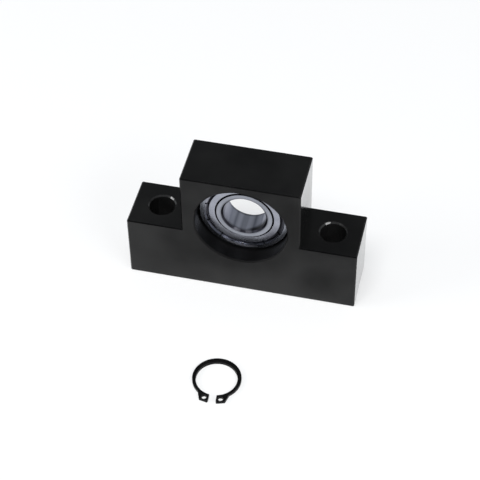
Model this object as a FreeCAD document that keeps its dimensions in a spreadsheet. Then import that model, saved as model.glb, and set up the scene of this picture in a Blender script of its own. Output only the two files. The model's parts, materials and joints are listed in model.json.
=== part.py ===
# Ball screw end support, floating side, for a 15 mm journal: a flanged steel block that holds
# a shielded ball bearing, and the external retaining ring of the journal, which lies in front of it.
# Frame: X across the flanges, Y along the screw from front to back, Z up.
# The origin is on the base, under the middle of the block. Lengths are in millimetres.

import FreeCAD, Part
import math
import os
import Sketcher

# Driving dimensions of the housing
HOUSING_SIZES = [
    ("base_width", 80, "width over both flanges"),
    ("block_width", 41, "width of the centre block"),
    ("block_height", 49, "base to top of the centre block"),
    ("flange_height", 25, "base to top of the flanges"),
    ("crown_wall", 3, "top of the centre block to the bearing's outside"),
    ("bearing_recess", 6, "front face to the bearing"),
    ("shoulder_thickness", 5, "wall behind the bearing"),
    ("shoulder_overlap", 2.25, "how far the wall covers the outer ring, on the radius"),
    ("seat_clearance", 0.01, "gap round the bearing in its seat, on the radius"),
    ("seat_break", 0.5, "chamfer at the two mouths of the bore"),
    ("hole_spacing", 60, "distance between the mounting holes"),
    ("hole_diameter", 9, "mounting hole for an M8 screw"),
    ("hole_break", 0.5, "chamfer at the mouths of the mounting holes"),
    ("edge_break", 0.4, "chamfer on the outer edges"),
]

# Driving dimensions of the bearing
BEARING_SIZES = [
    ("bearing_bore", 15, "journal diameter"),
    ("bearing_outside", 32, "outside diameter of the outer ring"),
    ("bearing_width", 9, "width of both rings"),
    ("ball_diameter", 4.7625, "three sixteenths of an inch"),
    ("ball_count", 9, "balls in the bearing"),
    ("race_clearance", 0.02, "gap between a ball and each raceway"),
    ("race_ratio", 1.04, "raceway radius over ball radius"),
    ("inner_land_rise", 0.6, "inner raceway's depth below its land"),
    ("outer_land_rise", 0.9, "outer raceway's depth below its land"),
    ("ring_break", 0.6, "chamfer at the bore and the outside of the rings"),
    ("land_break", 0.25, "chamfer between the inner ring's face and its land"),
]

# Driving dimensions of the shields and of their seats in the outer ring
SHIELD_SIZES = [
    ("shield_sheet", 0.3, "sheet thickness"),
    ("shield_recess", 0.15, "ring face to the shield's flat"),
    ("shield_gap", 0.4, "running gap to the inner ring, on the radius"),
    ("shelf_depth", 1.2, "ring face to the shelf that the shield sits on"),
    ("shelf_width", 0.75, "width of that shelf"),
    ("seat_undercut", 0.2, "groove that the rim is clinched into"),
    ("undercut_depth", 0.75, "ring face to the bottom of that groove"),
    ("rim_depth", 0.45, "ring face to the top of the clinched rim"),
    ("rim_gap", 0.05, "gap between the rim and its groove"),
    ("rim_slope", 0.15, "run of the rim's inner flank"),
    ("step_width", 0.85, "width of the sunk step inside the rim"),
    ("step_slope", 0.3, "run of the flank from the flat to the step"),
    ("slot_count", 11, "slots that let the rim spring into its groove"),
    ("slot_width", 0.7, "width of a slot"),
    ("slot_reach", 1.3, "slot's inner end to the outer end of the shelf"),
    ("slot_turn", 3.5, "how far the first slot is turned from the bottom, in degrees"),
]

# Driving dimensions of the cage and its rivets
CAGE_SIZES = [
    ("cage_sheet", 0.3, "sheet thickness"),
    ("cage_width", 1.5, "radial width of the ribbon"),
    ("pocket_clearance", 0.08, "gap between a ball and its pocket"),
    ("rivet_diameter", 0.8, "shank"),
    ("rivet_clearance", 0.02, "gap round the shank, on the radius"),
    ("rivet_head", 1.4, "head diameter"),
    ("rivet_dome", 0.3, "head height"),
]

# Driving dimensions of the retaining ring and of the place where it lies
RETAINER_SIZES = [
    ("retainer_sheet", 1, "ring thickness"),
    ("retainer_bite", 1.1, "journal diameter less the free bore of the ring"),
    ("retainer_band", 1.25, "mean width of the band"),
    ("retainer_offset", 0.38, "how much the outer edge is off centre, away from the gap"),
    ("retainer_gap", 2.5, "gap between the lugs at the bore"),
    ("lug_spread", 0.08, "how far each gap edge leans outwards"),
    ("lug_reach", 2.75, "bore edge to the lug's end"),
    ("lug_width", 3, "width of the lug's end"),
    ("lug_slope", 0.75, "fall of the lug's end away from the gap"),
    ("lug_flare", 0.95, "extra width of the lug at its root"),
    ("lug_hole", 1.7, "plier hole"),
    ("lug_hole_inset", 1.6, "lug's end to the plier hole's centre"),
    ("lug_corner", 0.4, "rounding of the lug's corners"),
    ("retainer_ahead", 41.5, "front face to the ring's centre"),
    ("retainer_aside", 1.4, "screw's axis to the ring's centre"),
    ("retainer_turn", 3.6, "how far the ring is turned on the floor, in degrees"),
]

# Sizes that follow from the driving ones
DERIVED_SIZES = [
    ("base_half", "=base_width / 2", "flange end"),
    ("block_half", "=block_width / 2", "side of the centre block"),
    ("centre_height", "=block_height - crown_wall - bearing_outside / 2", "base to the screw's axis"),
    ("block_depth", "=bearing_recess + bearing_width + shoulder_thickness", "front to back"),
    ("depth_half", "=block_depth / 2", "front or back face"),
    ("seat_depth", "=bearing_recess + bearing_width", "front face to the shoulder"),
    ("seat_radius", "=bearing_outside / 2 + seat_clearance", "bearing seat"),
    ("mouth_radius", "=seat_radius + seat_break", "front mouth"),
    ("opening_radius", "=bearing_outside / 2 - shoulder_overlap", "hole in the shoulder"),
    ("opening_mouth", "=opening_radius + seat_break", "back mouth"),
    ("opening_end", "=block_depth - seat_break", "start of the back chamfer"),
    ("hole_offset", "=hole_spacing / 2", "mounting hole's centre"),
    ("bearing_middle", "=seat_depth - bearing_width / 2 - depth_half", "bearing's mid plane"),
    ("ball_radius", "=ball_diameter / 2", "ball"),
    ("pitch_radius", "=(bearing_bore + bearing_outside) / 4", "circle of ball centres"),
    ("race_radius", "=ball_radius * race_ratio", "raceway section"),
    ("bore_radius", "=bearing_bore / 2", "inner ring's bore"),
    ("outside_radius", "=bearing_outside / 2", "outer ring's outside"),
    ("bore_chamfer", "=bore_radius + ring_break", "bore chamfer at the face"),
    ("outside_chamfer", "=outside_radius - ring_break", "outside chamfer at the face"),
    ("ring_half", "=bearing_width / 2", "ring face"),
    ("ring_straight", "=ring_half - ring_break", "start of the ring's chamfers"),
    ("inner_bottom", "=pitch_radius - ball_radius - race_clearance", "inner raceway's bottom"),
    ("outer_bottom", "=pitch_radius + ball_radius + race_clearance", "outer raceway's bottom"),
    ("inner_land", "=inner_bottom + inner_land_rise", "inner ring's land"),
    ("outer_land", "=outer_bottom - outer_land_rise", "outer ring's land"),
    ("inner_arc", "=inner_bottom + race_radius", "centre of the inner raceway's arc"),
    ("outer_arc", "=outer_bottom - race_radius", "centre of the outer raceway's arc"),
    ("inner_edge", "=sqrt(race_radius^2 - (inner_arc - inner_land)^2)", "inner raceway's edge"),
    ("outer_edge", "=sqrt(race_radius^2 - (outer_land - outer_arc)^2)", "outer raceway's edge"),
    ("inner_face", "=inner_land - land_break", "inner ring's face at the land"),
    ("land_straight", "=ring_half - land_break", "end of the inner ring's land"),
    ("shelf_height", "=ring_half - shelf_depth", "shelf under the shield"),
    ("shelf_radius", "=outer_land + shelf_width", "outer end of the shelf"),
    ("undercut_radius", "=shelf_radius + seat_undercut", "bottom of the shield groove"),
    ("undercut_height", "=ring_half - undercut_depth", "height of the shield groove"),
    ("rim_height", "=ring_half - rim_depth", "top of the clinched rim"),
    ("shield_bore", "=inner_land + shield_gap", "shield's hole"),
    ("flat_height", "=ring_half - shield_recess", "shield's flat"),
    ("flat_under", "=flat_height - shield_sheet", "underside of the shield's flat"),
    ("step_height", "=shelf_height + shield_sheet", "sunk step of the shield"),
    ("step_outer", "=outer_land - rim_gap", "outer end of the step"),
    ("step_inner", "=step_outer - step_width + step_slope", "inner end of the step"),
    ("flat_outer", "=step_outer - step_width", "outer end of the flat"),
    ("step_under", "=step_inner - shield_sheet", "inner end of the step, underneath"),
    ("flat_turn", "=flat_outer - shield_sheet", "outer end of the flat, underneath"),
    ("rim_inner", "=step_outer + rim_slope", "inner edge of the rim's top"),
    ("rim_outer", "=shelf_radius - rim_gap", "outer edge of the rim's top"),
    ("rim_tip", "=undercut_radius - rim_gap", "rim in its groove"),
    ("slot_half", "=slot_width / 2", "side of a slot"),
    ("slot_start", "=shelf_radius - slot_reach", "inner end of a slot"),
    ("cage_inner", "=pitch_radius - cage_width / 2", "ribbon's inner edge"),
    ("cage_outer", "=pitch_radius + cage_width / 2", "ribbon's outer edge"),
    ("pocket_radius", "=ball_radius + pocket_clearance", "inside of a pocket"),
    ("bulge_radius", "=pocket_radius + cage_sheet", "outside of a pocket"),
    ("rivet_bore", "=rivet_diameter / 2 + rivet_clearance", "rivet hole"),
    ("rivet_side", "=pitch_radius * sin(180 / ball_count)", "first rivet hole, across"),
    ("rivet_rise", "=pitch_radius * cos(180 / ball_count)", "first rivet hole, up"),
    ("rivet_shank", "=rivet_diameter / 2", "shank radius"),
    ("rivet_rim", "=rivet_head / 2", "head radius"),
    ("rivet_top", "=cage_sheet + rivet_dome", "top of a rivet head"),
    ("dome_radius", "=(rivet_rim^2 + rivet_dome^2) / (2 * rivet_dome)", "rivet head's arc"),
    ("dome_centre", "=dome_radius - rivet_top", "centre of that arc, beyond the mid plane"),
    ("retainer_inner", "=(bearing_bore - retainer_bite) / 2", "ring's free bore"),
    ("retainer_outer", "=retainer_inner + retainer_band", "ring's outer edge"),
    ("gap_half", "=retainer_gap / 2", "gap edge at the bore"),
    ("gap_start", "=sqrt(retainer_inner^2 - gap_half^2)", "gap edge on the bore"),
    ("lug_near", "=gap_half + lug_spread", "lug's end beside the gap"),
    ("lug_end", "=retainer_inner + lug_reach", "lug's end from the centre"),
    ("lug_far", "=lug_near + lug_width", "lug's outer corner, across"),
    ("lug_far_end", "=lug_end - lug_slope", "lug's outer corner, from the centre"),
    ("lug_root", "=lug_far + lug_flare", "lug's root, across"),
    ("lug_root_end", "=sqrt(retainer_outer^2 - lug_root^2) - retainer_offset", "lug's root on the band"),
    ("lug_hole_side", "=gap_half + lug_width / 2", "plier hole, across"),
    ("lug_hole_end", "=lug_end - lug_hole_inset", "plier hole from the centre"),
    ("retainer_front", "=-(depth_half + retainer_ahead)", "ring's centre on the floor"),
]

ORIGIN = (-1, 1)
ACROSS = -1
UPRIGHT = -2
NEAR = 0.01
CENTRE = FreeCAD.Vector(0, 0, 0)
ALONG = FreeCAD.Vector(0, 1, 0)
UP = FreeCAD.Vector(0, 0, 1)

doc = FreeCAD.newDocument("ball_screw_end_support")
sheet = doc.addObject("Spreadsheet::Sheet", "Sizes")


def fill_sheet():
    """Writes each size into a row of the sheet: its meaning, then its value under its own name."""
    rows = HOUSING_SIZES + BEARING_SIZES + SHIELD_SIZES + CAGE_SIZES + RETAINER_SIZES + DERIVED_SIZES
    for row, (alias, content, meaning) in enumerate(rows, start=1):
        sheet.set(f"A{row}", meaning)
        sheet.set(f"B{row}", str(content))
        sheet.setAlias(f"B{row}", alias)
    doc.recompute()


def size(alias):
    """Returns a size's present value."""
    return float(sheet.get(alias))


def bind(item, setting, alias):
    """Ties one setting of an object to a size in the sheet."""
    item.setExpression(setting, f"Sizes.{alias}")


def split_sign(term):
    """Splits a signed name such as -depth_half into its sign and its name."""
    if term.startswith("-"):
        return -1, term[1:]
    return 1, term


def coordinate(term):
    """Returns the value of a signed name, or 0."""
    if term == 0:
        return 0.0
    sign, alias = split_sign(term)
    return sign * size(alias)


def flat_point(x, y):
    """Returns a sketch point from two signed names."""
    return FreeCAD.Vector(coordinate(x), coordinate(y), 0)


def hold(sketch, kind, point, term):
    """Holds one coordinate of a sketch point at a signed size, or on an axis where it is 0."""
    if term == 0:
        axis = UPRIGHT if kind == "DistanceX" else ACROSS
        sketch.addConstraint(Sketcher.Constraint("PointOnObject", *point, axis))
        return
    sign, alias = split_sign(term)
    first, last = (ORIGIN, point) if sign > 0 else (point, ORIGIN)
    number = sketch.addConstraint(Sketcher.Constraint(kind, *first, *last, size(alias)))
    bind(sketch, f"Constraints[{number}]", alias)


def add_arc(sketch, start, end, centre, radius, leftward):
    """Adds a round side and returns its two ends, in the order in which the outline meets them."""
    circle = Part.Circle(centre, UP, size(radius))
    start_angle = math.atan2(start.y - centre.y, start.x - centre.x)
    end_angle = math.atan2(end.y - centre.y, end.x - centre.x)
    if leftward:
        number = sketch.addGeometry(Part.ArcOfCircle(circle, start_angle, end_angle))
        ends = (number, 1), (number, 2)
    else:
        number = sketch.addGeometry(Part.ArcOfCircle(circle, end_angle, start_angle))
        ends = (number, 2), (number, 1)
    constraint = sketch.addConstraint(Sketcher.Constraint("Radius", number, size(radius)))
    bind(sketch, f"Constraints[{constraint}]", radius)
    return ends


def draw_outline(sketch, corners, arcs=None):
    """Draws a closed outline whose corners are pairs of signed names.

    arcs maps the number of a round side to its centre, its radius and whether it turns leftward.
    """
    arcs = arcs or {}
    points = [flat_point(x, y) for x, y in corners]
    sides = []
    for number, start in enumerate(points):
        end = points[(number + 1) % len(points)]
        if number in arcs:
            centre, radius, leftward = arcs[number]
            sides.append(add_arc(sketch, start, end, flat_point(*centre), radius, leftward))
        else:
            line = sketch.addGeometry(Part.LineSegment(start, end))
            sides.append(((line, 1), (line, 2)))
    for number, (first, _) in enumerate(sides):
        last = sides[number - 1][1]
        sketch.addConstraint(Sketcher.Constraint("Coincident", *last, *first))
    for (first, _), (x, y) in zip(sides, corners):
        hold(sketch, "DistanceX", first, x)
        hold(sketch, "DistanceY", first, y)


def draw_circle(sketch, x, y, diameter):
    """Draws a circle with its centre at a pair of signed names."""
    number = sketch.addGeometry(Part.Circle(flat_point(x, y), UP, size(diameter) / 2))
    if x == 0 and y == 0:
        sketch.addConstraint(Sketcher.Constraint("Coincident", number, 3, *ORIGIN))
    else:
        hold(sketch, "DistanceX", (number, 3), x)
        hold(sketch, "DistanceY", (number, 3), y)
    constraint = sketch.addConstraint(Sketcher.Constraint("Diameter", number, size(diameter)))
    bind(sketch, f"Constraints[{constraint}]", diameter)


def origin_part(body, role):
    """Returns one of a body's own origin planes or axes."""
    return next(part for part in body.Origin.OriginFeatures if part.Role == role)


def new_body(name):
    """Starts a sub-part."""
    body = doc.addObject("PartDesign::Body", name)
    body.Label = name
    return body


def new_sketch(body, name, plane):
    """Starts a sketch on one of the body's origin planes."""
    sketch = body.newObject("Sketcher::SketchObject", name)
    sketch.AttachmentSupport = [(origin_part(body, plane), "")]
    sketch.MapMode = "FlatFace"
    return sketch


def add_feature(body, kind, name, sketch, reverse=False):
    """Adds a feature that is made from a sketch."""
    feature = body.newObject(f"PartDesign::{kind}", name)
    feature.Profile = (sketch, [""])
    feature.Reversed = reverse
    return feature


def turn_section(body, kind, name, sketch, axis):
    """Turns a section through a full circle about one of its sketch's axes."""
    feature = add_feature(body, kind, name, sketch)
    feature.ReferenceAxis = (sketch, [axis])
    feature.Angle = 360
    doc.recompute()
    return feature


def repeat_round(body, name, originals, count):
    """Repeats features round the bearing's axis, as often as a size says."""
    pattern = body.newObject("PartDesign::PolarPattern", name)
    pattern.Originals = originals
    pattern.Axis = (origin_part(body, "Y_Axis"), [""])
    pattern.Angle = 360
    bind(pattern, "Occurrences", count)
    body.Tip = pattern
    doc.recompute()


def seat_in_bearing(piece, turn_axis=UP, turn=0):
    """Places a piece that is drawn about the bearing's centre, turned in degrees about an axis."""
    piece.Placement = FreeCAD.Placement(CENTRE, FreeCAD.Rotation(turn_axis, turn))
    bind(piece, "Placement.Base.y", "bearing_middle")
    bind(piece, "Placement.Base.z", "centre_height")


def named_edges(shape, wanted):
    """Returns the names of the edges that a test picks."""
    return [f"Edge{number}" for number, edge in enumerate(shape.Edges, start=1) if wanted(edge)]


def dress_edges(body, kind, name, setting, alias, wanted):
    """Chamfers or rounds the edges of the body's last feature that a test picks."""
    base = body.Tip
    edges = named_edges(base.Shape, wanted)
    feature = body.newObject(f"PartDesign::{kind}", name)
    feature.Base = (base, edges)
    bind(feature, setting, alias)
    doc.recompute()
    return feature


def is_outer_edge(edge):
    """Picks the straight edges round the block's outline, front to back, except the two inner corners."""
    if edge.Curve.TypeId != "Part::GeomLine":
        return False
    first, last = (vertex.Point for vertex in edge.Vertexes)
    front_or_back = abs(abs(first.y) - size("depth_half")) < NEAR and abs(first.y - last.y) < NEAR
    runs_through = abs(edge.Length - size("block_depth")) < NEAR and abs(first.y - last.y) > NEAR
    at_flange_end = abs(abs(first.x) - size("base_half")) < NEAR
    at_top = abs(first.z - size("block_height")) < NEAR
    return front_or_back or (runs_through and (at_flange_end or at_top))


def is_hole_mouth(edge):
    """Picks both mouths of the mounting holes."""
    if edge.Curve.TypeId != "Part::GeomCircle":
        return False
    upright = abs(abs(edge.Curve.Axis.z) - 1) < NEAR
    return upright and abs(edge.Curve.Radius - size("hole_diameter") / 2) < NEAR


def make_housing():
    """The block: its outline, the stepped bore for the bearing, two mounting holes, broken edges."""
    body = new_body("housing")
    outline = new_sketch(body, "front_outline", "XZ_Plane")
    draw_outline(outline, [
        ("-base_half", 0),
        ("base_half", 0),
        ("base_half", "flange_height"),
        ("block_half", "flange_height"),
        ("block_half", "block_height"),
        ("-block_half", "block_height"),
        ("-block_half", "flange_height"),
        ("-base_half", "flange_height"),
    ])
    blank = add_feature(body, "Pad", "block", outline)
    blank.SideType = "Symmetric"
    bind(blank, "Length", "block_depth")
    doc.recompute()

    section = new_sketch(body, "bore_section", "YZ_Plane")
    section.setExpression("AttachmentOffset.Base.x", "-Sizes.depth_half")
    bind(section, "AttachmentOffset.Base.y", "centre_height")
    draw_outline(section, [
        (0, 0),
        ("block_depth", 0),
        ("block_depth", "opening_mouth"),
        ("opening_end", "opening_radius"),
        ("seat_depth", "opening_radius"),
        ("seat_depth", "seat_radius"),
        ("seat_break", "seat_radius"),
        (0, "mouth_radius"),
    ])
    turn_section(body, "Groove", "bearing_seat", section, "H_Axis")

    centres = new_sketch(body, "hole_circles", "XY_Plane")
    for side in ("-hole_offset", "hole_offset"):
        draw_circle(centres, side, 0, "hole_diameter")
    holes = add_feature(body, "Pocket", "mounting_holes", centres, reverse=True)
    holes.Type = "ThroughAll"
    doc.recompute()

    dress_edges(body, "Chamfer", "hole_mouths", "Size", "hole_break", is_hole_mouth)
    dress_edges(body, "Chamfer", "broken_edges", "Size", "edge_break", is_outer_edge)
    return body


def make_outer_ring():
    """The bearing's outer ring, with its raceway and a grooved seat for each shield."""
    body = new_body("outer_ring")
    section = new_sketch(body, "outer_section", "XY_Plane")
    draw_outline(section, [
        ("outside_radius", "-ring_straight"),
        ("outside_radius", "ring_straight"),
        ("outside_chamfer", "ring_half"),
        ("shelf_radius", "ring_half"),
        ("shelf_radius", "rim_height"),
        ("undercut_radius", "undercut_height"),
        ("shelf_radius", "shelf_height"),
        ("outer_land", "shelf_height"),
        ("outer_land", "outer_edge"),
        ("outer_land", "-outer_edge"),
        ("outer_land", "-shelf_height"),
        ("shelf_radius", "-shelf_height"),
        ("undercut_radius", "-undercut_height"),
        ("shelf_radius", "-rim_height"),
        ("shelf_radius", "-ring_half"),
        ("outside_chamfer", "-ring_half"),
    ], arcs={8: (("outer_arc", 0), "race_radius", False)})
    turn_section(body, "Revolution", "outer_turning", section, "V_Axis")
    seat_in_bearing(body)
    return body


def make_inner_ring():
    """The bearing's inner ring, which turns with the journal."""
    body = new_body("inner_ring")
    section = new_sketch(body, "inner_section", "XY_Plane")
    draw_outline(section, [
        ("bore_radius", "-ring_straight"),
        ("bore_chamfer", "-ring_half"),
        ("inner_face", "-ring_half"),
        ("inner_land", "-land_straight"),
        ("inner_land", "-inner_edge"),
        ("inner_land", "inner_edge"),
        ("inner_land", "land_straight"),
        ("inner_face", "ring_half"),
        ("bore_chamfer", "ring_half"),
        ("bore_radius", "ring_straight"),
    ], arcs={4: (("inner_arc", 0), "race_radius", False)})
    turn_section(body, "Revolution", "inner_turning", section, "V_Axis")
    seat_in_bearing(body)
    return body


def make_shield(name, turn):
    """A pressed shield: a flat near the ring's face, a sunk step, and a slotted rim in the ring's groove."""
    body = new_body(name)
    section = new_sketch(body, f"{name}_section", "XY_Plane")
    draw_outline(section, [
        ("shield_bore", "flat_under"),
        ("flat_turn", "flat_under"),
        ("step_under", "shelf_height"),
        ("rim_outer", "shelf_height"),
        ("rim_tip", "undercut_height"),
        ("rim_outer", "rim_height"),
        ("rim_inner", "rim_height"),
        ("step_outer", "step_height"),
        ("step_inner", "step_height"),
        ("flat_outer", "flat_height"),
        ("shield_bore", "flat_height"),
    ])
    turn_section(body, "Revolution", f"{name}_pressing", section, "V_Axis")

    outline = new_sketch(body, f"{name}_slot_outline", "XZ_Plane")
    bind(outline, "AttachmentOffset.Rotation.Angle", "slot_turn")
    draw_outline(outline, [
        ("-slot_half", "-undercut_radius"),
        ("slot_half", "-undercut_radius"),
        ("slot_half", "-slot_start"),
        ("-slot_half", "-slot_start"),
    ])
    slot = add_feature(body, "Pocket", f"{name}_slot", outline)
    slot.Type = "ThroughAll"
    doc.recompute()
    repeat_round(body, f"{name}_slots", [slot], "slot_count")
    seat_in_bearing(body, turn=turn)
    return body


def ball_sketch(body, name):
    """Starts a sketch whose origin is the centre of the ball at the top of the bearing."""
    sketch = new_sketch(body, name, "YZ_Plane")
    bind(sketch, "AttachmentOffset.Base.y", "pitch_radius")
    return sketch


def repeat_shape(shape):
    """Returns copies of a shape, one for each ball, turned round the bearing's axis."""
    copies = []
    ball_count = int(size("ball_count"))
    for number in range(ball_count):
        copy = shape.copy()
        copy.rotate(CENTRE, ALONG, 360 * number / ball_count)
        copies.append(copy)
    return copies


def make_cage_half(name, turn):
    """Half of the ribbon cage: flat tabs with a rivet hole each, and a round pocket for each ball."""
    inner, outer = size("cage_inner"), size("cage_outer")
    pocket, bulge = size("pocket_radius"), size("bulge_radius")
    sheet_metal = size("cage_sheet")

    def ribbon(depth):
        return Part.makeCylinder(outer, depth, CENTRE, ALONG).cut(
            Part.makeCylinder(inner, depth, CENTRE, ALONG))

    top_ball = FreeCAD.Vector(0, 0, size("pitch_radius"))
    window = Part.makeCylinder((pocket + bulge) / 2, sheet_metal, top_ball, ALONG)
    between = FreeCAD.Vector(size("rivet_side"), 0, size("rivet_rise"))
    rivet_hole = Part.makeCylinder(size("rivet_bore"), sheet_metal, between, ALONG)
    tabs = ribbon(sheet_metal).cut(repeat_shape(window) + repeat_shape(rivet_hole))

    dome = Part.makeSphere(bulge, top_ball, ALONG, 0, 90, 360)
    hollow = Part.makeSphere(pocket, top_ball, ALONG, 0, 90, 360)
    pockets = repeat_shape(dome.cut(hollow).common(ribbon(bulge)))

    cage_half = doc.addObject("Part::Feature", name)
    cage_half.Label = name
    cage_half.Shape = tabs.multiFuse(pockets)
    seat_in_bearing(cage_half, turn=turn)
    return cage_half


def make_rivets():
    """The rivets that join the cage halves: one turned section, repeated between the balls."""
    body = new_body("cage_rivets")
    section = ball_sketch(body, "rivet_section")
    draw_outline(section, [
        ("-rivet_top", 0),
        ("rivet_top", 0),
        ("cage_sheet", "rivet_rim"),
        ("cage_sheet", "rivet_shank"),
        ("-cage_sheet", "rivet_shank"),
        ("-cage_sheet", "rivet_rim"),
    ], arcs={
        1: (("-dome_centre", 0), "dome_radius", True),
        5: (("dome_centre", 0), "dome_radius", True),
    })
    rivet = turn_section(body, "Revolution", "rivet", section, "H_Axis")
    repeat_round(body, "rivets", [rivet], "ball_count")
    seat_in_bearing(body, turn_axis=ALONG, turn=180 / size("ball_count"))
    return body


def make_ball(number):
    """One ball, in its place round the pitch circle. The first is at the top."""
    ball = doc.addObject("Part::Sphere", f"ball_{number + 1}")
    ball.Label = f"ball_{number + 1}"
    bind(ball, "Radius", "ball_radius")
    angle = f"{number} * 360 / Sizes.ball_count"
    ball.setExpression("Placement.Base.x", f"Sizes.pitch_radius * sin({angle})")
    bind(ball, "Placement.Base.y", "bearing_middle")
    ball.setExpression("Placement.Base.z", f"Sizes.centre_height + Sizes.pitch_radius * cos({angle})")
    return ball


def is_lug_corner(edge):
    """Picks the upright edges at the ends of the lugs."""
    if edge.Curve.TypeId != "Part::GeomLine":
        return False
    first, last = (vertex.Point for vertex in edge.Vertexes)
    upright = abs(first.z - last.z) > NEAR
    return upright and first.y < -size("lug_far_end") + NEAR


def make_retaining_ring():
    """The external retaining ring: an eccentric band with two lugs, lying flat on the floor."""
    body = new_body("retaining_ring")
    outline = new_sketch(body, "retainer_outline", "XY_Plane")
    draw_outline(outline, [
        ("gap_half", "-gap_start"),
        ("lug_near", "-lug_end"),
        ("lug_far", "-lug_far_end"),
        ("lug_root", "-lug_root_end"),
        ("-lug_root", "-lug_root_end"),
        ("-lug_far", "-lug_far_end"),
        ("-lug_near", "-lug_end"),
        ("-gap_half", "-gap_start"),
    ], arcs={
        3: ((0, "retainer_offset"), "retainer_outer", True),
        7: ((0, 0), "retainer_inner", False),
    })
    for side in ("-lug_hole_side", "lug_hole_side"):
        draw_circle(outline, side, "-lug_hole_end", "lug_hole")
    stamping = add_feature(body, "Pad", "stamping", outline)
    bind(stamping, "Length", "retainer_sheet")
    doc.recompute()
    dress_edges(body, "Fillet", "lug_corners", "Radius", "lug_corner", is_lug_corner)
    body.Placement = FreeCAD.Placement(CENTRE, FreeCAD.Rotation(UP, size("retainer_turn")))
    bind(body, "Placement.Base.x", "retainer_aside")
    bind(body, "Placement.Base.y", "retainer_front")
    return body


def make_pieces():
    """Makes every sub-part and returns each with the number of solids that it holds."""
    ball_count = int(size("ball_count"))
    single = [
        make_housing(),
        make_outer_ring(),
        make_inner_ring(),
        make_shield("shield_front", 180),
        make_shield("shield_rear", 0),
        make_cage_half("cage_front", 180),
        make_cage_half("cage_rear", 0),
        make_retaining_ring(),
    ]
    single += [make_ball(number) for number in range(ball_count)]
    return [(piece, 1) for piece in single] + [(make_rivets(), ball_count)]


def check_document():
    """Stops if any object of the document failed."""
    for item in doc.Objects:
        if "Invalid" in item.State or "Error" in item.State:
            raise RuntimeError(f"{item.Label} failed: {item.State}")


def write_piece(piece, solids):
    """Checks a sub-part's shape and writes it to its own file."""
    shape = piece.Shape
    if shape.isNull() or not shape.isValid() or len(shape.Solids) != solids:
        raise RuntimeError(f"{piece.Label} has no sound shape")
    shape.exportStep(os.path.join("parts", f"{piece.Label}.step"))
    print(f"{piece.Label}: {len(shape.Solids)} solid(s), {shape.Volume:.3f} mm3")


fill_sheet()
pieces = make_pieces()
doc.recompute()
check_document()
os.makedirs("parts", exist_ok=True)
for piece, solids in pieces:
    write_piece(piece, solids)
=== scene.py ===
# Looks of the ball screw end support: the finishes of the black block, of the bearing and of the
# retaining ring, with the floor, the lamps and the camera. Lengths are in metres, in the part's frame:
# X across the flanges, Y along the screw from front to back, Z up from the base.

import bpy
import json
import math
from mathutils import Matrix, Vector

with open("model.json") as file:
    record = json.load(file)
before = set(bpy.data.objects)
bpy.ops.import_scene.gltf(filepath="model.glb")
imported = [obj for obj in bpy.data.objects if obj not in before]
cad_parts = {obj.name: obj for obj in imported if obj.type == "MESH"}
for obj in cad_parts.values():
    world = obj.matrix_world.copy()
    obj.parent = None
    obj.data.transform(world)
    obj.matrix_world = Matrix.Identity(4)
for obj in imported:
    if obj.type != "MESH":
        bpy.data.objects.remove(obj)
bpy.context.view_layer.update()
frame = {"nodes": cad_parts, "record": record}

# Places on the block and the bearing, and the margin that masks leave round them
AXIS_HEIGHT = 0.030
HOLE_OFFSET = 0.030
HOLE_RADIUS = 0.0045
HOLE_BREAK = 0.0005
FLANGE_HEIGHT = 0.025
BROKEN_EDGES_START = 0.0172
BEARING_MIDDLE = 0.0005
MARGIN = 0.00005

# Bands round the screw's axis: where each starts and ends, and the width of its soft sides
RECESS_BAND = (0.0, 0.0162, 0.0001)
BORE_BAND = (0.0, 0.00752, 0.00005)
INNER_CORNER_BAND = (0.0, 0.0081, 0.0006)
OUTER_FACE_BAND = (0.0139, 0.0158, 0.00005)
OUTER_LIP_BAND = (0.01412, 0.0147, 0.00008)
SHIELD_HOLE_BAND = (0.0, 0.0107, 0.0001)
SHIELD_STEP_BAND = (0.01245, 0.0131, 0.00012)
SHIELD_RIM_BAND = (0.0132, 0.0145, 0.0001)

# Stretches over which a look changes, along the axis that each is named for
FOOT_UP_Z = (0.001, 0.011)
FOOT_ALONG_X = (-0.005, 0.035)
RIGHT_END_ALONG_X = (0.022, 0.038)
BACK_ALONG_Y = (0.0088, 0.0096)
MOUTH_BACK_ALONG_Y = (0.001, 0.003)
MOUTH_FOOT_UP_Z = (FLANGE_HEIGHT - HOLE_BREAK - 0.0002, FLANGE_HEIGHT - HOLE_BREAK)
MOUTH_TOP_UP_Z = (FLANGE_HEIGHT - 0.00008, FLANGE_HEIGHT - 0.00002)
BORE_END_ALONG_Y = (0.0028, 0.0039)
# Where painted shade darkens the bore's front end on the right
BORE_SHADE_ALONG_X = (0.0003, 0.0028)
BORE_SHADE_DEPTH_ALONG_X = (0.0015, 0.0055)
SHIELD_FOOT_UP_Z = (0.0180, 0.0225)
# Stretch across which the shield rim's painted light turns to painted shade
SHIELD_RIM_ALONG_X = (-0.010, 0.010)

# Thin patches in the block's oil film: middle, reach, where each starts to fade, and how much film it takes
THIN_PATCHES = {
    "round the bore": ((0, -0.010, 0.034), (0.030, 0.030, 0.030), 0.72, 0.30),
    "left of the front": ((-0.0195, -0.010, 0.0205), (0.0105, 0.020, 0.0145), 0.50, 0.30),
    "right of the front": ((0.0274, -0.010, 0.0090), (0.0105, 0.020, 0.0095), 0.30, 0.51),
    "right flange": ((0.031, 0, 0.025), (0.020, 0.020, 0.003), 0.60, 0.15),
}

# Other patches, each with its middle, its reach and where it starts to fade
# A painted reflection: a bright patch on the left side of the inner ring's bore
PAINTED_HIGHLIGHT_LEFT = ((-0.0083, 0.001, 0.028), (0.0024, 0.012, 0.0080), 0.3)
DULL_STRIP = ((0.0026, 0, 0.0228), (0.0022, 1.0, 0.004), 0.3)
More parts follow.
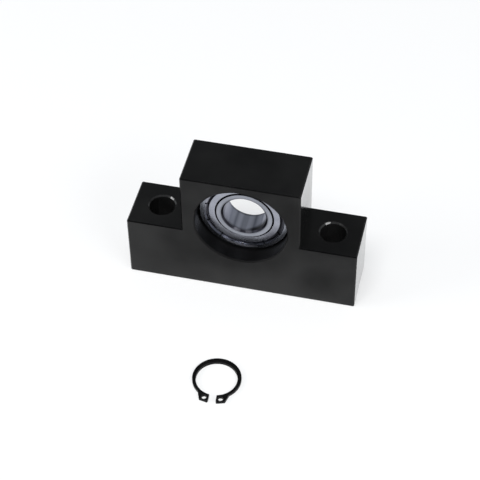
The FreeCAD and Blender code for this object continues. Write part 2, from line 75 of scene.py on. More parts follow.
# A painted highlight on the outer ring's lip at the bottom
LIP_HIGHLIGHT_PATCH = ((-0.0022, -0.004, 0.0158), (0.0072, 0.020, 0.004), 0.6)
# A darker patch on the shield's flat, at its lower right
DARK_PATCH_LOWER_RIGHT = ((0.0105, -0.004, 0.0215), (0.0055, 0.020, 0.0075), 0.2)
MATT_PATCH = ((-0.0058, -0.004, 0.0198), (0.0070, 0.020, 0.0045), 0.3)

# Bright rubs along the inner ring's bore, by angle from its bottom, and half their width
RUB_ANGLES = (math.radians(-20), math.radians(10))
RUB_REACH = math.radians(10)

# Colours of the block
OXIDE_DARK = (0.0015, 0.0015, 0.0017, 1)
OXIDE_PALE = (0.0045, 0.0045, 0.0045, 1)
WORN_EDGE = (0.05, 0.05, 0.052, 1)
# Painted light on the mounting holes' walls, in place of light bounced inside them
HOLE_WALL_PAINTED_LIGHT = (0.011, 0.011, 0.011, 1)
HOLE_MOUTH = (0.09, 0.09, 0.09, 1)

# Colours of the bearing's rings
FACE_LIGHT = (0.335, 0.35, 0.395, 1)
FACE_DARK = (0.255, 0.268, 0.307, 1)
# Painted shade on the inner ring's face beside its bore
FACE_PAINTED_SHADE = (0.12, 0.125, 0.145, 1)
BORE_LIGHT = (0.37, 0.385, 0.455, 1)
BORE_DARK = (0.135, 0.145, 0.19, 1)
BORE_RUBBED = (0.64, 0.66, 0.77, 1)
# Painted reflection on the left side of the bore
BORE_PAINTED_HIGHLIGHT = (0.62, 0.64, 0.74, 1)
BORE_DULL = (0.12, 0.13, 0.16, 1)
BORE_END = (0.05, 0.05, 0.06, 1)
# Painted shade at the bore's front end on the right
BORE_PAINTED_SHADE = (0.006, 0.006, 0.008, 1)
# Painted shade on the rings' turned corners
CORNER_PAINTED_SHADE = (0.03, 0.03, 0.039, 1)
CORNER_RUBBED = (0.20, 0.20, 0.235, 1)
# Painted highlight on the outer ring's lip
LIP_PAINTED_HIGHLIGHT = (0.55, 0.55, 0.60, 1)

# Colours of the shields
SHEET_LIGHT = (0.362, 0.375, 0.43, 1)
SHEET_DARK = (0.315, 0.328, 0.38, 1)
# Darker patch at the flat's lower right
SHEET_PATCH_DARKER = (0.06, 0.06, 0.075, 1)
# Cut edge round the shield's hole, brightened by a painted highlight
SHEET_CUT_AND_HIGHLIGHT = (0.58, 0.59, 0.66, 1)
# Painted shade in the shield's sunk step: deepest at the bottom, patchy above
STEP_SHADE_DEEP = (0.025, 0.025, 0.032, 1)
STEP_SHADE_MID = (0.14, 0.14, 0.17, 1)
STEP_SHADE_PALE = (0.26, 0.26, 0.30, 1)
# Painted light and shade on the shield's rim: lit at the left, shaded at the right
RIM_PAINTED_LIGHT = (0.30, 0.305, 0.35, 1)
RIM_PAINTED_SHADE = (0.06, 0.062, 0.075, 1)

# Colours of the retaining ring
PHOSPHATE_DARK = (0.002, 0.002, 0.0022, 1)
PHOSPHATE_PALE = (0.006, 0.006, 0.006, 1)
PHOSPHATE_WORN = (0.05, 0.05, 0.05, 1)

# Floor: the share of its white that doesn't come from the lamps, and its colour
FLOOR_GLOW = 0.56
FLOOR_PAPER = (0.97, 0.965, 0.96, 1)

# Colours of the surroundings as metal shows them, as they light a matt surface, and as the camera sees them
SKY_IN_METAL = (0.94, 0.98, 1.0, 1)
SKY_ON_MATT = (0.84, 0.95, 1.06, 1)
WHITE = (1, 1, 1, 1)

# Darkest part of the surroundings, which is in front: its rise in degrees, its fade and its share of light
DARK_RISE = 42
DARK_FADE = (0.80, 0.93)
DARK_LIGHT = 0.16

# Soft boxes: turn from the front and rise in degrees, distance, width, height, and brightness per area
LAMPS = {
    "overhead_soft_box": (-8, 67, 1.3, 0.6, 0.6, 9.5),
    "left_soft_box": (-70, 27, 1.2, 0.5, 0.28, 9.0),
    "right_soft_box": (56, 38, 1.2, 0.7, 0.26, 7.0),
}
LAMP_AIM = Vector((0, -0.02, 0.02))

# Camera: where it aims, how far off it stands, and how it is turned, in degrees
CAMERA_TARGET = Vector((-0.0026, 0, 0.0136))
CAMERA_DISTANCE = 0.536
CAMERA_TURN = 13.96
CAMERA_RISE = 46.57
CAMERA_ROLL = -1.0
FOCAL_PIXELS = 1542
FRAME_PIXELS = 480
SENSOR_WIDTH = 36


def new_group(name, inputs, outputs):
    """Starts a shader node group and returns it with its two end nodes."""
    group = bpy.data.node_groups.new(name, "ShaderNodeTree")
    for label in inputs:
        group.interface.new_socket(label, in_out="INPUT", socket_type="NodeSocketFloat")
    for label in outputs:
        group.interface.new_socket(label, in_out="OUTPUT", socket_type="NodeSocketFloat")
    return group, group.nodes.new("NodeGroupInput").outputs, group.nodes.new("NodeGroupOutput").inputs


def use_group(tree, group, **values):
    """Places a group in a material with its own values, and returns its outputs."""
    node = tree.nodes.new("ShaderNodeGroup")
    node.node_tree = group
    for label, value in values.items():
        node.inputs[label.replace("_", " ")].default_value = value
    return node.outputs


def set_value(tree, socket, value):
    """Sets a socket, or links it where the value is another node's socket."""
    if isinstance(value, bpy.types.NodeSocket):
        tree.links.new(value, socket)
    else:
        socket.default_value = value


def math_step(tree, operation, first, second=0.0):
    """Adds a Math node and returns its result."""
    node = tree.nodes.new("ShaderNodeMath")
    node.operation = operation
    set_value(tree, node.inputs[0], first)
    set_value(tree, node.inputs[1], second)
    return node.outputs[0]


def plus(tree, first, *others):
    """Adds values up."""
    for other in others:
        first = math_step(tree, "ADD", first, other)
    return first


def times(tree, first, *others):
    """Multiplies values."""
    for other in others:
        first = math_step(tree, "MULTIPLY", first, other)
    return first


def spread(tree, value, start, end, first=0.0, last=1.0):
    """Maps a value between start and end onto first to last, held at both ends."""
    node = tree.nodes.new("ShaderNodeMapRange")
    set_value(tree, node.inputs["Value"], value)
    set_value(tree, node.inputs["From Min"], start)
    set_value(tree, node.inputs["From Max"], end)
    set_value(tree, node.inputs["To Min"], first)
    set_value(tree, node.inputs["To Max"], last)
    return node.outputs["Result"]


def between(tree, mask, first, last):
    """Returns first where a mask is nought and last where it is one."""
    return spread(tree, mask, 0, 1, first, last)


def blend_colour(tree, share, first, second):
    """Mixes two colours by a share and returns the result."""
    node = tree.nodes.new("ShaderNodeMix")
    node.data_type = "RGBA"
    set_value(tree, node.inputs["Factor"], share)
    set_value(tree, node.inputs[6], first)
    set_value(tree, node.inputs[7], second)
    return node.outputs[2]


def paint_over(tree, base, *layers):
    """Lays colours over a base in turn. Each layer is a mask, its strength and a colour."""
    for mask, strength, colour in layers:
        share = mask if strength == 1 else times(tree, mask, strength)
        base = blend_colour(tree, share, base, colour)
    return base


def add_shares(tree, base, *shares):
    """Adds masks to a base value. Each share is a mask and the amount that it adds."""
    for mask, amount in shares:
        base = plus(tree, base, times(tree, mask, amount))
    return base


def vector_step(tree, operation, first, second=None):
    """Adds a Vector Math node and returns it."""
    node = tree.nodes.new("ShaderNodeVectorMath")
    node.operation = operation
    set_value(tree, node.inputs[0], first)
    if second is not None:
        set_value(tree, node.inputs[1], second)
    return node


def object_place(tree, scale=(1, 1, 1), middle=(0, 0, 0)):
    """Returns the surface point in the part's frame, about a middle and stretched."""
    place = tree.nodes.new("ShaderNodeTexCoord").outputs["Object"]
    centred = vector_step(tree, "SUBTRACT", place, middle).outputs[0]
    return vector_step(tree, "MULTIPLY", centred, scale).outputs[0]


def split_axes(tree, vector):
    """Returns the X, Y and Z of a vector."""
    node = tree.nodes.new("ShaderNodeSeparateXYZ")
    tree.links.new(vector, node.inputs[0])
    return node.outputs["X"], node.outputs["Y"], node.outputs["Z"]


def join_axes(tree, x, y, z=0.0):
    """Returns the vector with a given X, Y and Z."""
    node = tree.nodes.new("ShaderNodeCombineXYZ")
    for socket, value in zip(node.inputs, (x, y, z)):
        set_value(tree, socket, value)
    return node.outputs[0]


def faces_along(tree, axis):
    """Returns how squarely the surface faces along an axis, to either side, from nought to one."""
    normal = split_axes(tree, tree.nodes.new("ShaderNodeTexCoord").outputs["Normal"])
    return math_step(tree, "ABSOLUTE", normal["XYZ".index(axis)])


def distance(tree, first, second):
    """Returns the distance from an axis, from the two offsets square to it."""
    return math_step(tree, "SQRT", plus(tree, times(tree, first, first), times(tree, second, second)))


def about_screw(tree):
    """Returns a point's X, Y and Z from the screw's axis, and its distance from that axis."""
    x, y, z = split_axes(tree, object_place(tree, middle=(0, 0, AXIS_HEIGHT)))
    return x, y, z, distance(tree, x, z)


def noise(tree, place, scale, detail, roughness, low, high, first=0.0, last=1.0):
    """Adds a Noise texture and spreads its values between low and high onto first to last."""
    node = tree.nodes.new("ShaderNodeTexNoise")
    tree.links.new(place, node.inputs["Vector"])
    set_value(tree, node.inputs["Scale"], scale)
    node.inputs["Detail"].default_value = detail
    node.inputs["Roughness"].default_value = roughness
    return spread(tree, node.outputs["Fac"], low, high, first, last)


def make_cloud_group():
    """Soft clouds and fine specks, as on an oxide layer or an oiled face. Sizes are per metre."""
    group, entry, leave = new_group("Oxide clouds", ["Cloud Scale", "Speck Scale"], ["Cloud", "Speck"])
    place = object_place(group)
    cloud = noise(group, place, entry["Cloud Scale"], detail=3.0, roughness=0.55, low=0.36, high=0.66)
    speck = noise(group, place, entry["Speck Scale"], detail=2.0, roughness=0.6, low=0.35, high=0.65)
    group.links.new(cloud, leave["Cloud"])
    group.links.new(speck, leave["Speck"])
    return group


def make_ground_group():
    """Fine straight lines across the block, as grinding leaves them."""
    group, entry, leave = new_group("Ground lines", ["Line Scale"], ["Lines"])
    place = object_place(group, scale=(0.01, 1.0, 1.0))
    lines = noise(group, place, entry["Line Scale"], detail=3.0, roughness=0.65, low=0.3, high=0.7)
    group.links.new(lines, leave["Lines"])
    return group


def make_turned_group():
    """Fine rings about the screw's axis, as turning and round grinding leave them."""
    group, entry, leave = new_group("Turned lines", ["Line Scale"], ["Lines"])
    _, y, _, radius = about_screw(group)
    place = join_axes(group, radius, y)
    lines = noise(group, place, entry["Line Scale"], detail=3.0, roughness=0.6, low=0.3, high=0.7)
    group.links.new(lines, leave["Lines"])
    return group


def make_rubbed_group():
    """A mask of the edges that handling rubs bright, broken up by noise."""
    group, entry, leave = new_group("Rubbed edges", ["Edge Width", "Patch Scale"], ["Mask"])
    rounded = group.nodes.new("ShaderNodeBevel")
    rounded.samples = 6
    group.links.new(entry["Edge Width"], rounded.inputs["Radius"])
    true_normal = group.nodes.new("ShaderNodeNewGeometry").outputs["Normal"]
    agree = vector_step(group, "DOT_PRODUCT", rounded.outputs["Normal"], true_normal).outputs["Value"]
    edge = spread(group, agree, 0.995, 0.93)
    patchy = noise(group, object_place(group), entry["Patch Scale"], detail=3.0, roughness=0.6,
                   low=0.35, high=0.6, first=0.25, last=1.0)
    group.links.new(times(group, edge, patchy), leave["Mask"])
    return group


def make_corner_group():
    """A mask of the rings' corners, which are turned and not ground: they lie aslant to the axis. The dark
    colour laid on them is painted shade.
    """
    group, entry, leave = new_group("Turned corners", ["Middle", "Reach", "Softness"], ["Mask"])
    away = math_step(group, "SUBTRACT", faces_along(group, "Y"), entry["Middle"])
    inner = math_step(group, "SUBTRACT", entry["Reach"], entry["Softness"])
    mask = spread(group, math_step(group, "ABSOLUTE", away), inner, entry["Reach"], 1.0, 0.0)
    group.links.new(mask, leave["Mask"])
    return group


def make_broken_group():
    """A mask of the block's straight broken edges, which lie aslant to every face of the block."""
    group, entry, leave = new_group("Broken edges", ["Bore Reach"], ["Mask"])
    squarest = 0.0
    for axis in "XYZ":
        squarest = math_step(group, "MAXIMUM", squarest, faces_along(group, axis))
    slant = spread(group, squarest, 0.75, 0.9, 1.0, 0.0)
    radius = about_screw(group)[3]
    outside = math_step(group, "GREATER_THAN", radius, entry["Bore Reach"])
    group.links.new(times(group, slant, outside), leave["Mask"])
    return group


def make_streak_group():
    """Soft streaks along the axis and two bright rubs, as a journal leaves them in a bore."""
    inputs = ["Streak Scale", "Stretch", "Turn"]
    group, entry, leave = new_group("Bore streaks", inputs, ["Streaks", "Rubs"])
    x, y, z, radius = about_screw(group)
    side = math_step(group, "DIVIDE", x, radius)
    rise = math_step(group, "DIVIDE", z, radius)
    place = join_axes(group, side, rise, times(group, y, entry["Stretch"]))
    turned = group.nodes.new("ShaderNodeVectorRotate")
    turned.rotation_type = "Z_AXIS"
    group.links.new(place, turned.inputs["Vector"])
    group.links.new(entry["Turn"], turned.inputs["Angle"])
    streaks = noise(group, turned.outputs[0], entry["Streak Scale"], detail=2.0, roughness=0.5,
                    low=0.36, high=0.64)
    rubs = 0.0
    for angle in RUB_ANGLES:
        near = plus(group, times(group, side, math.sin(angle)), times(group, rise, -math.cos(angle)))
        rubs = math_step(group, "MAXIMUM", rubs, spread(group, near, math.cos(RUB_REACH), 1.0))
    group.links.new(streaks, leave["Streaks"])
    group.links.new(rubs, leave["Rubs"])
    return group


def make_band_group():
    """A mask of a band between two distances from the screw's axis, with soft sides."""
    group, entry, leave = new_group("Round band", ["Inner Radius", "Outer Radius", "Side"], ["Mask"])
    radius = about_screw(group)[3]
    inner, outer, side = (entry[label] for label in ("Inner Radius", "Outer Radius", "Side"))
    rise = spread(group, radius, math_step(group, "SUBTRACT", inner, side), inner)
    fall = spread(group, radius, outer, plus(group, outer, side), 1.0, 0.0)
    group.links.new(times(group, rise, fall), leave["Mask"])
    return group


def make_mouth_group():
    """Masks of the two mounting holes: their upper mouths, where screw heads rub, and their walls."""
    group, entry, leave = new_group("Hole mouths", ["Reach", "Side"], ["Mouth", "Wall"])
    x, y, z = split_axes(group, object_place(group))
    aside = math_step(group, "SUBTRACT", math_step(group, "ABSOLUTE", x), HOLE_OFFSET)
    radius = distance(group, aside, y)
    inside = spread(group, radius, entry["Reach"], plus(group, entry["Reach"], entry["Side"]), 1.0, 0.0)
    above = spread(group, z, *MOUTH_FOOT_UP_Z)
    below = spread(group, z, *MOUTH_TOP_UP_Z, 1.0, 0.0)
    group.links.new(times(group, inside, above, below), leave["Mouth"])
    wall = spread(group, radius, HOLE_RADIUS + MARGIN, HOLE_RADIUS + 3 * MARGIN, 1.0, 0.0)
    group.links.new(wall, leave["Wall"])
    return group


CLOUDS = make_cloud_group()
GROUND = make_ground_group()
TURNED = make_turned_group()
RUBBED = make_rubbed_group()
CORNERS = make_corner_group()
BROKEN = make_broken_group()
STREAKS = make_streak_group()
BAND = make_band_group()
MOUTHS = make_mouth_group()


def round_band(tree, inner, outer, side):
    """Places a band round the screw's axis in a material and returns its mask."""
    return use_group(tree, BAND, Inner_Radius=inner, Outer_Radius=outer, Side=side)["Mask"]


def make_patch(tree, middle, reach, start):
    """A mask of a soft round patch, which fades from start, a share of its reach, to its edge."""
    place = object_place(tree, scale=tuple(1 / length for length in reach), middle=middle)
    share = vector_step(tree, "LENGTH", place).outputs["Value"]
    return spread(tree, share, start, 1.0, 1.0, 0.0)


def start_finish(name, metallic=0.0):
    """Starts a material and returns it with its node tree and its surface shader."""
    material = bpy.data.materials.new(name)
    material.use_nodes = True
    shader = material.node_tree.nodes["Principled BSDF"]
    shader.inputs["Metallic"].default_value = metallic
    return material, material.node_tree, shader


def add_bump(tree, shader, height, depth, strength=0.4):
    """Raises the surface by a height value, without moving it."""
    bump = tree.nodes.new("ShaderNodeBump")
    bump.inputs["Strength"].default_value = strength
    bump.inputs["Distance"].default_value = depth
    tree.links.new(height, bump.inputs["Height"])
    tree.links.new(bump.outputs["Normal"], shader.inputs["Normal"])


def make_oil_film(tree, cloud, speck, broken, end):
    """Returns the weight of the oil film on the block.

    It is clouded and speckled. It is thicker at the foot, most of all at the left, and on the two ends,
    and thinner at the right, in patches, on the broken edges and in the bearing's recess.
    """
    x, y, z = split_axes(tree, object_place(tree))
    foot = times(tree, spread(tree, z, *FOOT_UP_Z, 1.0, 0.0), spread(tree, x, *FOOT_ALONG_X, 0.26, 0.13))
    right = spread(tree, x, *RIGHT_END_ALONG_X, 0.0, -0.14)
    thin = 0.0
    for middle, reach, start, depth in THIN_PATCHES.values():
        patch = times(tree, make_patch(tree, middle, reach, start), -depth)
        thin = math_step(tree, "MINIMUM", thin, patch)
    film = plus(tree, between(tree, cloud, 0.46, 0.72), foot, right, thin, times(tree, end, 0.5))
    film = plus(tree, film, between(tree, speck, -0.04, 0.04))
    before_back = spread(tree, y, *BACK_ALONG_Y, 1.0, 0.0)
    recess = times(tree, round_band(tree, *RECESS_BAND), before_back)
    film = times(tree, film, between(tree, broken, 1.0, 0.35), between(tree, recess, 1.0, 0.2))
    return math_step(tree, "MINIMUM", film, 1.0)


def make_black_oxide():
    """Black oxide on ground steel under a film of oil: nearly black, satin, softly clouded.

    The upper mouths of the mounting holes are rubbed to bare metal, most of all at their back. The holes'
    walls are lightened by painted light, in place of light bounced inside them.
    """
    material, tree, shader = start_finish("black_oxide_finish")
    clouds = use_group(tree, CLOUDS, Cloud_Scale=46.0, Speck_Scale=2600.0)
    cloud, speck = clouds["Cloud"], clouds["Speck"]
    lines = use_group(tree, GROUND, Line_Scale=5200.0)["Lines"]
    rubbed = use_group(tree, RUBBED, Edge_Width=0.00022, Patch_Scale=260.0)["Mask"]
    broken = use_group(tree, BROKEN, Bore_Reach=BROKEN_EDGES_START)["Mask"]
    holes = use_group(tree, MOUTHS, Reach=HOLE_RADIUS + HOLE_BREAK + MARGIN, Side=0.00006)
    end = spread(tree, faces_along(tree, "X"), 0.9, 0.99)
    backward = spread(tree, split_axes(tree, object_place(tree))[1], *MOUTH_BACK_ALONG_Y, 0.25, 1.0)
    mouth = times(tree, holes["Mouth"], between(tree, speck, 0.5, 1.0), backward)
    colour = paint_over(
        tree, blend_colour(tree, cloud, OXIDE_DARK, OXIDE_PALE),
        (rubbed, 0.15, WORN_EDGE),
        # painted light on the holes' walls
        (holes["Wall"], 1, HOLE_WALL_PAINTED_LIGHT),
        (mouth, 1, HOLE_MOUTH),
    )
    rough = between(tree, speck, 0.34, 0.48)
    rough = add_shares(tree, rough, (mouth, -0.18), (broken, -0.24), (end, -0.22))
    tree.links.new(colour, shader.inputs["Base Color"])
    tree.links.new(times(tree, mouth, 0.8), shader.inputs["Metallic"])
    tree.links.new(rough, shader.inputs["Roughness"])
    tree.links.new(make_oil_film(tree, cloud, speck, broken, end), shader.inputs["Coat Weight"])
    add_bump(tree, shader, plus(tree, times(tree, lines, 0.6), speck), depth=0.000003)
    shader.inputs["Specular IOR Level"].default_value = 0.11
    shader.inputs["Coat IOR"].default_value = 1.3
    shader.inputs["Coat Roughness"].default_value = 0.14
    return material


def turned_surface(tree, line_scale):
    """Returns the turned lines of a surface, its clouds, and the mean of both."""
    lines = use_group(tree, TURNED, Line_Scale=line_scale)["Lines"]
    cloud = use_group(tree, CLOUDS, Cloud_Scale=160.0, Speck_Scale=5000.0)["Cloud"]
    return lines, cloud, times(tree, plus(tree, lines, cloud), 0.5)


def make_ball_steel():
    """Lapped balls: nearly a mirror."""
    material, tree, shader = start_finish("ball_steel_finish", metallic=1.0)
    lines, cloud, tone = turned_surface(tree, 3000.0)
    colour = blend_colour(tree, tone, (0.62, 0.62, 0.64, 1), (0.58, 0.58, 0.60, 1))
    rough = plus(tree, between(tree, lines, 0.03, 0.10), between(tree, cloud, -0.01, 0.03))
    tree.links.new(colour, shader.inputs["Base Color"])
    tree.links.new(rough, shader.inputs["Roughness"])
    add_bump(tree, shader, lines, depth=0.0000012)
    return material


def make_bore_colour(tree, marks):
    """Returns the colour of the inner ring's bore.

    The journal has streaked and rubbed it. Its left side is brightened by a painted reflection, it is dull
    in a strip near the bottom, it is dark at both ends, and its front end on the right is darkened by
    painted shade.
    """
    x, y, _ = split_axes(tree, object_place(tree, middle=(0, BEARING_MIDDLE, 0)))
    ends = spread(tree, math_step(tree, "ABSOLUTE", y), *BORE_END_ALONG_Y)
    # painted shade at the bore's front end, on the right
    shade_start = spread(tree, x, *BORE_SHADE_DEPTH_ALONG_X, -0.0024, -0.0006)
    front_right_shade = times(tree, spread(tree, y, shade_start, -0.0029), spread(tree, x, *BORE_SHADE_ALONG_X))
    streaked = blend_colour(tree, marks["Streaks"], BORE_LIGHT, BORE_DARK)
    return paint_over(
        tree, streaked,
        (marks["Rubs"], 0.7, BORE_RUBBED),
        (ends, 0.75, BORE_END),
        # painted reflection that brightens the bore's left side
        (make_patch(tree, *PAINTED_HIGHLIGHT_LEFT), 0.5, BORE_PAINTED_HIGHLIGHT),
        (make_patch(tree, *DULL_STRIP), 0.4, BORE_DULL),
        (front_right_shade, 0.95, BORE_PAINTED_SHADE),
    )


def make_bearing_steel():
    """Ground rings: bright faces, a bore with the journal's marks, and turned corners darkened by painted
    shade.

    Painted shade darkens the inner ring's face beside its bore. The outer ring's lip has a painted
    highlight at the bottom.
    """
    material, tree, shader = start_finish("bearing_steel_finish", metallic=1.0)
    lines, _, tone = turned_surface(tree, 9000.0)
    marks = use_group(tree, STREAKS, Streak_Scale=2.3, Stretch=12.0, Turn=-0.17)
    bore = round_band(tree, *BORE_BAND)
    corner = use_group(tree, CORNERS, Middle=0.68, Reach=0.26, Softness=0.06)["Mask"]
    # the lip's painted highlight
    lip = times(tree, round_band(tree, *OUTER_LIP_BAND), make_patch(tree, *LIP_HIGHLIGHT_PATCH))
    colour = paint_over(
        tree, blend_colour(tree, tone, FACE_LIGHT, FACE_DARK),
        # painted shade on the inner ring's face beside its bore
        (round_band(tree, *INNER_CORNER_BAND), 0.8, FACE_PAINTED_SHADE),
        (bore, 1, make_bore_colour(tree, marks)),
        (lip, 1, LIP_PAINTED_HIGHLIGHT),
        # painted shade on the turned corners, lighter where the rubs cross them
        (corner, 1, blend_colour(tree, marks["Rubs"], CORNER_PAINTED_SHADE, CORNER_RUBBED)),
    )
    rough = between(tree, lines, 0.10, 0.18)
    outer_face = round_band(tree, *OUTER_FACE_BAND)
    rough = add_shares(tree, rough, (bore, 0.28), (corner, 0.14), (outer_face, 0.1), (lip, 0.22))
    tree.links.new(colour, shader.inputs["Base Color"])
    tree.links.new(rough, shader.inputs["Roughness"])
    add_bump(tree, shader, lines, depth=0.0000012)
    return material


def make_pressed_steel(name, colour, shade, roughness):
    """Rolled sheet or headed wire, pressed to shape: a fine even grain."""
    material, tree, shader = start_finish(name, metallic=1.0)
    clouds = use_group(tree, CLOUDS, Cloud_Scale=220.0, Speck_Scale=7000.0)
    tree.links.new(blend_colour(tree, clouds["Cloud"], colour, shade), shader.inputs["Base Color"])
    rough = plus(tree, between(tree, clouds["Speck"], roughness - 0.03, roughness + 0.04),
                 between(tree, clouds["Cloud"], -0.02, 0.03))
    tree.links.new(rough, shader.inputs["Roughness"])
    add_bump(tree, shader, clouds["Speck"], depth=0.0000015)
    return material


def make_shield_steel():
    """Pressed shield: a satin flat, painted shade in its sunk step, and a rim with painted light, bright at
    the left and shaded to the right.

    The flat has a darker patch at its lower right, a matt patch, and a cut edge round its hole, brightened
    by a painted highlight.
    """
    material, tree, shader = start_finish("shield_steel_finish", metallic=1.0)
    clouds = use_group(tree, CLOUDS, Cloud_Scale=220.0, Speck_Scale=7000.0)
    x, _, z = split_axes(tree, object_place(tree))
    low = spread(tree, z, *SHIELD_FOOT_UP_Z, 1.0, 0.0)
    # painted light and shade across the rim, from left to right
    rim_shade_share = spread(tree, x, *SHIELD_RIM_ALONG_X)
    step = round_band(tree, *SHIELD_STEP_BAND)
    step_patches = noise(tree, object_place(tree), scale=130.0, detail=2.0, roughness=0.5, low=0.4, high=0.6)
    # painted shade in the sunk step, deepest at the bottom
    step_shade = blend_colour(tree, low, STEP_SHADE_DEEP, blend_colour(tree, step_patches, STEP_SHADE_MID, STEP_SHADE_PALE))
    sideways = spread(tree, faces_along(tree, "Y"), 0.5, 0.8, 1.0, 0.0)
    # the cut edge round the hole, where a painted highlight is laid
    cut_edge_highlight = times(tree, sideways, round_band(tree, *SHIELD_HOLE_BAND))
    colour = paint_over(
        tree, blend_colour(tree, clouds["Cloud"], SHEET_LIGHT, SHEET_DARK),
        # darker patch at the flat's lower right
        (make_patch(tree, *DARK_PATCH_LOWER_RIGHT), 0.75, SHEET_PATCH_DARKER),
        # the sunk step's painted shade
        (step, 1, step_shade),
        # the rim's painted light and shade
        (round_band(tree, *SHIELD_RIM_BAND), 1, blend_colour(tree, rim_shade_share, RIM_PAINTED_LIGHT, RIM_PAINTED_SHADE)),
        (cut_edge_highlight, 1, SHEET_CUT_AND_HIGHLIGHT),
    )
    rough = between(tree, clouds["Speck"], 0.20, 0.27)
    matt = make_patch(tree, *MATT_PATCH)
    rough = add_shares(tree, rough, (step, 0.25), (cut_edge_highlight, 0.45), (matt, 0.08))
    tree.links.new(colour, shader.inputs["Base Color"])
    tree.links.new(rough, shader.inputs["Roughness"])
    add_bump(tree, shader, clouds["Speck"], depth=0.0000015)
    return material


def make_spring_steel():
    """Phosphated and oiled spring steel: black, slightly shiny, lighter on its edges."""
    material, tree, shader = start_finish("spring_steel_finish")
    clouds = use_group(tree, CLOUDS, Cloud_Scale=300.0, Speck_Scale=4200.0)
    rubbed = use_group(tree, RUBBED, Edge_Width=0.00015, Patch_Scale=500.0)["Mask"]
    layer = blend_colour(tree, clouds["Cloud"], PHOSPHATE_DARK, PHOSPHATE_PALE)
    tree.links.new(paint_over(tree, layer, (rubbed, 0.3, PHOSPHATE_WORN)), shader.inputs["Base Color"])
    tree.links.new(between(tree, clouds["Speck"], 0.28, 0.42), shader.inputs["Roughness"])
    add_bump(tree, shader, clouds["Speck"], depth=0.000006, strength=0.5)
    shader.inputs["Specular IOR Level"].default_value = 0.1
    return material


FINISHES = {
    "black_oxide_steel": make_black_oxide(),
    "bearing_steel": make_bearing_steel(),
    "shield_steel": make_shield_steel(),
    "cage_steel": make_pressed_steel(
        "cage_steel_finish", colour=(0.44, 0.43, 0.42, 1), shade=(0.36, 0.355, 0.35, 1), roughness=0.32),
    "rivet_steel": make_pressed_steel(
        "rivet_steel_finish", colour=(0.40, 0.40, 0.40, 1), shade=(0.32, 0.32, 0.32, 1), roughness=0.36),
    "ball_steel": make_ball_steel(),
    "spring_steel": make_spring_steel(),
}


def finish_nodes():
    """Gives every solid of the part the finish of its slot."""
    slots = {row["node"]: row["material_slot"] for row in frame["record"]["subparts"]}
    for name, node in frame["nodes"].items():
        node.data.materials.clear()
        node.data.materials.append(FINISHES[slots[name]])


def direction(turn, rise):
    """Returns the way from the part to a point at a turn from the front and a rise, in degrees."""
    turn, rise = math.radians(turn), math.radians(rise)
    return Vector((math.sin(turn) * math.cos(rise), -math.cos(turn) * math.cos(rise), math.sin(rise)))


def make_floor():
    """A plain pale floor that shows white to the camera and in the metal, and keeps a soft shadow."""
    bpy.ops.object.select_all(action="DESELECT")
    bpy.ops.mesh.primitive_plane_add(size=8, location=(0, 0, 0))
    floor = bpy.context.object
    floor.name = "floor"
    material = bpy.data.materials.new("floor_paper")
    material.use_nodes = True
    tree = material.node_tree
    tree.nodes.clear()
    rays = tree.nodes.new("ShaderNodeLightPath").outputs
    seen = math_step(tree, "MAXIMUM", rays["Is Camera Ray"], rays["Is Glossy Ray"])
    seen = math_step(tree, "MAXIMUM", seen, rays["Is Transmission Ray"])
    paper = tree.nodes.new("ShaderNodeBsdfDiffuse")
    paper.inputs["Color"].default_value = FLOOR_PAPER
    glow = tree.nodes.new("ShaderNodeEmission")
    glow.inputs["Color"].default_value = WHITE
    glow.inputs["Strength"].default_value = 1.0
    mix = tree.nodes.new("ShaderNodeMixShader")
    tree.links.new(times(tree, seen, FLOOR_GLOW), mix.inputs[0])
    tree.links.new(paper.outputs[0], mix.inputs[1])
    tree.links.new(glow.outputs[0], mix.inputs[2])
    out = tree.nodes.new("ShaderNodeOutputMaterial")
    tree.links.new(mix.outputs[0], out.inputs["Surface"])
    floor.data.materials.append(material)


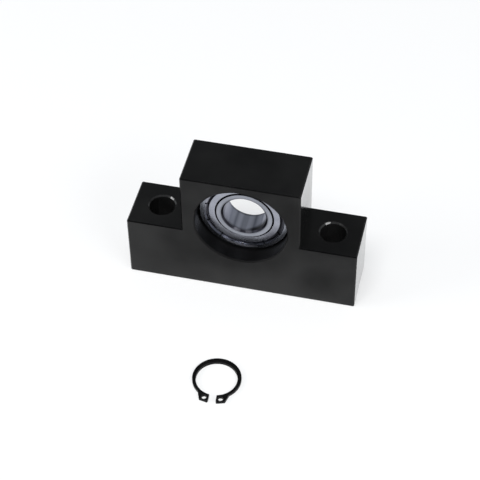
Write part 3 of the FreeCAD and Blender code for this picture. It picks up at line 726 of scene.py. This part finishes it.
def make_sky():
    """Studio surroundings: pale near the floor, darker above and darkest in front, white to the camera."""
    world = bpy.data.worlds.new("studio")
    bpy.context.scene.world = world
    world.use_nodes = True
    tree = world.node_tree
    tree.nodes.clear()
    way = tree.nodes.new("ShaderNodeTexCoord").outputs["Generated"]
    level = spread(tree, split_axes(tree, way)[2], 0.05, 0.55, 0.85, 0.30)
    forward = vector_step(tree, "DOT_PRODUCT", way, direction(0, DARK_RISE)).outputs["Value"]
    level = times(tree, level, spread(tree, forward, *DARK_FADE, 1.0, DARK_LIGHT))
    rays = tree.nodes.new("ShaderNodeLightPath").outputs
    tint = blend_colour(tree, rays["Is Diffuse Ray"], SKY_IN_METAL, SKY_ON_MATT)
    tint = blend_colour(tree, rays["Is Camera Ray"], tint, WHITE)
    glow = tree.nodes.new("ShaderNodeBackground")
    tree.links.new(tint, glow.inputs["Color"])
    tree.links.new(math_step(tree, "MAXIMUM", level, rays["Is Camera Ray"]), glow.inputs["Strength"])
    out = tree.nodes.new("ShaderNodeOutputWorld")
    tree.links.new(glow.outputs[0], out.inputs["Surface"])


def make_lamp(name, turn, rise, distance_off, width, height, brightness):
    """A soft box that faces the part. Its brightness is per area, so its size doesn't change it."""
    data = bpy.data.lights.new(name, "AREA")
    data.shape = "RECTANGLE"
    data.size = width
    data.size_y = height
    data.energy = math.pi * width * height * brightness
    lamp = bpy.data.objects.new(name, data)
    bpy.context.scene.collection.objects.link(lamp)
    away = direction(turn, rise)
    lamp.location = away * distance_off + LAMP_AIM
    lamp.rotation_euler = away.to_track_quat("Z", "Y").to_euler()


def make_camera():
    """The camera, at the photograph's viewing angle."""
    back = direction(CAMERA_TURN, CAMERA_RISE)
    turn, roll = math.radians(CAMERA_TURN), math.radians(CAMERA_ROLL)
    right = Vector((math.cos(turn), math.sin(turn), 0))
    up = back.cross(right)
    rolled_right = math.cos(roll) * right + math.sin(roll) * up
    rolled_up = math.cos(roll) * up - math.sin(roll) * right
    data = bpy.data.cameras.new("camera")
    data.sensor_width = SENSOR_WIDTH
    data.lens = FOCAL_PIXELS / FRAME_PIXELS * SENSOR_WIDTH
    data.clip_start = 0.01
    data.clip_end = 20
    camera = bpy.data.objects.new("camera", data)
    bpy.context.scene.collection.objects.link(camera)
    facing = Matrix((rolled_right, rolled_up, back)).transposed().to_4x4()
    camera.matrix_world = Matrix.Translation(CAMERA_TARGET + CAMERA_DISTANCE * back) @ facing
    bpy.context.scene.camera = camera


finish_nodes()
make_floor()
make_sky()
for lamp_name, lamp_values in LAMPS.items():
    make_lamp(lamp_name, *lamp_values)
make_camera()
bpy.context.scene.view_settings.view_transform = "Standard"
